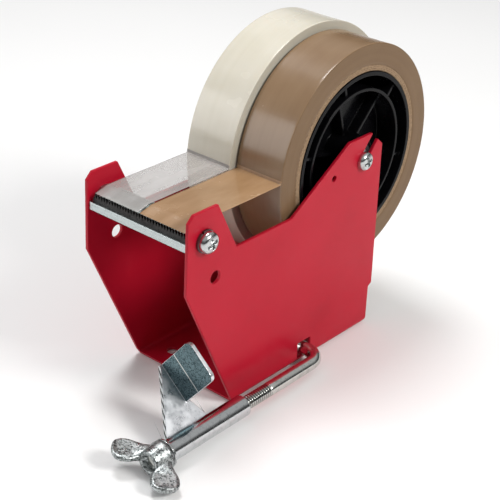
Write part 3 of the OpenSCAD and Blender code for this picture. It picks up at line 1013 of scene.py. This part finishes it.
    def wing_nut(self) -> bpy.types.Object:
        """Join the nut's turned hub and its two wings.

        Returns:
            The new object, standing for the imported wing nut.
        """
        low, high = corners("wing_nut")
        foot = high[1] / MM
        mouth = foot - self.nut_mm
        hub = turned("wing_nut_cast", [
            (foot, 3.4), (foot, 5.6), (foot - 0.3, 5.95), (foot - 1.8, 6.0), (foot - 2.6, 5.7),
            (foot - 5, 5.45), (mouth + 0.8, 5.15), (mouth + 0.25, 4.95), (mouth, 4.6), (mouth, 3.75),
            (mouth + 0.5, 3.2), (foot - 0.4, 3.1)], 1, self.axis, 64)
        wings = [self.wing(side, low[1], foot * MM) for side in Side]
        work = bmesh.new()
        for part in [hub, *wings]:
            work.from_mesh(part.data)
        work.to_mesh(hub.data)
        work.free()
        for part in wings:
            bpy.data.objects.remove(part)
        hub.data.shade_smooth()
        hub.data.set_sharp_from_angle(angle=math.radians(50))
        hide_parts("wing_nut")
        return hub

    def wing(self, side: Side, tip_y: float, foot_y: float) -> bpy.types.Object:
        """Make one wing as squared-off ovals along a line that sweeps out and forwards.

        With s from 0 at the hub to 1 at the tip, the half width grows from 3.4 to 5.7 mm and closes as
        sqrt(1 - t^2.6), where t runs from 0 to 1 over the last third. The ovals are |x|^p + |y|^p = 1 with
        p = 3, and both faces are dished. The wings turn about the bolt by wing_tilt.

        Args:
            side: Which way it points along X.
            tip_y: The furthest that it reaches towards -Y.
            foot_y: Where the nut's foot stands.

        Returns:
            The new object.
        """
        half = self.wing_span_mm / 2 * MM
        s = np.concatenate([np.linspace(0, 0.9, 40), 1 - 0.1 * np.linspace(1, 0, 14)[1:] ** 2])
        start = np.array([0.0036, foot_y - 0.0042])
        end = np.array([half - 0.0018, tip_y + 0.0024])
        line = start + (end - start) * s[:, None] ** np.array([1.0, 1.1])
        way = np.gradient(line, axis=0)
        way /= np.linalg.norm(way, axis=1, keepdims=True)
        ease = np.clip((s - 0.1) / 0.55, 0, 1)
        close = np.sqrt(np.clip(1 - np.clip((s - 0.66) / 0.34, 0, 1) ** 2.6, 0, 1))
        root_half, more_half, root_thick, less_thick = 0.0034, 0.0023, 0.0023, 0.0008
        wide = (root_half + more_half * ease ** 2 * (3 - 2 * ease)) * close
        thick = (root_thick - less_thick * np.clip(s / 0.4, 0, 1)) * np.minimum(1, close * 1.5 + 0.02)
        t = np.linspace(0, 2 * math.pi, 40, endpoint=False)
        c = np.sign(np.cos(t)) * np.abs(np.cos(t)) ** (2 / 3)
        u = np.sign(np.sin(t)) * np.abs(np.sin(t)) ** (2 / 3)
        flat = np.clip((s - 0.25) / 0.2, 0, 1) * np.clip((close - 0.6) / 0.3, 0, 1)
        dish = 1 - 0.25 * flat[:, None] * np.clip(1 - (c / 0.8) ** 4, 0, 1)
        out = line[:, :1] - way[:, 1:] * wide[:, None] * c
        along = line[:, 1:] + way[:, :1] * wide[:, None] * c
        rise = thick[:, None] * u * dish
        tilt = math.radians(self.wing_tilt) * side.value
        reach = out * math.cos(tilt) + side.value * rise * math.sin(tilt)
        height = self.axis[2] + rise * math.cos(tilt) - out * math.sin(tilt)
        rings = np.stack([self.axis[0] + side.value * reach, along, height], axis=-1)
        return tube_piece("wing_" + side.name.lower(), rings, False)


@dataclass
class Studio:
    """A pale floor, soft lights and the camera."""

    azimuth: float = 40.2
    elevation: float = 28.03
    roll: float = 2.33
    place: tuple[float, float, float] = (0.32829, -0.39378, 0.3167)
    lens: float = 96.45
    floor_half: float = 6.0
    floor_gap: float = 0.0003
    room_strength: float = 0.75
    room_greys: tuple[tuple[float, float], ...] = ((0.0, 0.06), (0.28, 0.10), (0.55, 0.62), (1.0, 0.70))

    def build(self) -> None:
        """Make the floor, the lights, the room and the camera."""
        self.camera()
        self.floor()
        self.light("key", (0.85, 0.10, 0.70), 7.5, 0.32, (1.0, 0.985, 0.96))
        self.light("top", (-0.30, 0.10, 1.0), 5.0, 0.32, (1.0, 1.0, 1.0))
        self.light("fill", (-0.65, -0.75, 0.38), 2.6, 0.55, (1.0, 1.0, 1.0))
        self.room()
        bpy.context.scene.view_settings.view_transform = "Standard"

    def room(self) -> None:
        """Make the room's grey, which goes by height from dark below to light above."""
        world = bpy.data.worlds.new("soft_room")
        world.use_nodes = True
        tree = world.node_tree
        sky = tree.nodes["Background"]
        sky.inputs["Strength"].default_value = self.room_strength
        height = tree.nodes.new("ShaderNodeSeparateXYZ")
        tone = tree.nodes.new("ShaderNodeValToRGB")
        tree.links.new(tree.nodes.new("ShaderNodeTexCoord").outputs["Generated"], height.inputs[0])
        tree.links.new(height.outputs["Z"], tone.inputs["Fac"])
        tree.links.new(tone.outputs["Color"], sky.inputs["Color"])
        stops = tone.color_ramp.elements
        for place, _ in self.room_greys[1:-1]:
            stops.new(place)
        for stop, (place, grey) in zip(stops, self.room_greys):
            stop.position = place
            stop.color = (grey, grey, grey, 1.0)
        bpy.context.scene.world = world

    def camera(self) -> None:
        """Set the camera from its azimuth, elevation and roll.

        Back is (sin a cos e, -cos a cos e, sin e), and right is level before the roll turns it.
        """
        a, e, roll = (math.radians(v) for v in (self.azimuth, self.elevation, self.roll))
        back = Vector((math.sin(a) * math.cos(e), -math.cos(a) * math.cos(e), math.sin(e)))
        level = (-back).cross(Vector((0, 0, 1))).normalized()
        rise = level.cross(-back)
        right = level * math.cos(roll) + rise * math.sin(roll)
        up = rise * math.cos(roll) - level * math.sin(roll)
        data = bpy.data.cameras.new("camera")
        data.lens = self.lens
        data.sensor_width = 36.0
        view = bpy.data.objects.new("camera", data)
        turn = Matrix((right, up, back)).transposed().to_4x4()
        view.matrix_world = Matrix.Translation(self.place) @ turn
        bpy.context.scene.collection.objects.link(view)
        bpy.context.scene.camera = view

    def floor(self) -> None:
        """Lay a wide pale floor just under the base."""
        half, low = self.floor_half, -self.floor_gap
        points = np.array([[-half, -half, low], [half, -half, low],
                           [half, half, low], [-half, half, low]])
        floor = new_piece("floor", points, np.array([[0, 1, 2, 3]]))
        g = Graph("pale_floor")
        g.fixed(Roughness=0.75, Specular_IOR_Level=0.2)
        g.drive(Base_Color=g.ramp(g.noise(3, 2), (0.3, (0.86, 0.86, 0.86)), (0.7, (0.89, 0.89, 0.89))))
        floor.data.materials.append(g.material)

    def light(self, name: str, place: tuple[float, float, float], power: float, size: float,
              tint: Colour) -> None:
        """Add a soft square light that points at the object.

        Args:
            name: The light's name.
            place: Where it stands, in metres.
            power: Its power in watts.
            size: The length of its side.
            tint: Its colour.
        """
        data = bpy.data.lights.new(name, "AREA")
        data.energy = power
        data.size = size
        data.color = tint
        lamp = bpy.data.objects.new(name, data)
        lamp.location = place
        aim = Vector((0.0, 0.0, 0.05)) - Vector(place)
        lamp.rotation_euler = aim.to_track_quat("-Z", "Y").to_euler()
        bpy.context.scene.collection.objects.link(lamp)


def main() -> None:
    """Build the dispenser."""
    logging.basicConfig(level=logging.INFO, format="%(message)s")
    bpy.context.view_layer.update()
    Studio().build()
    Stand().build()
    Reel().build()
    TapeEnds().build()
    Clamp().build()


if __name__ == "__main__":
    main()
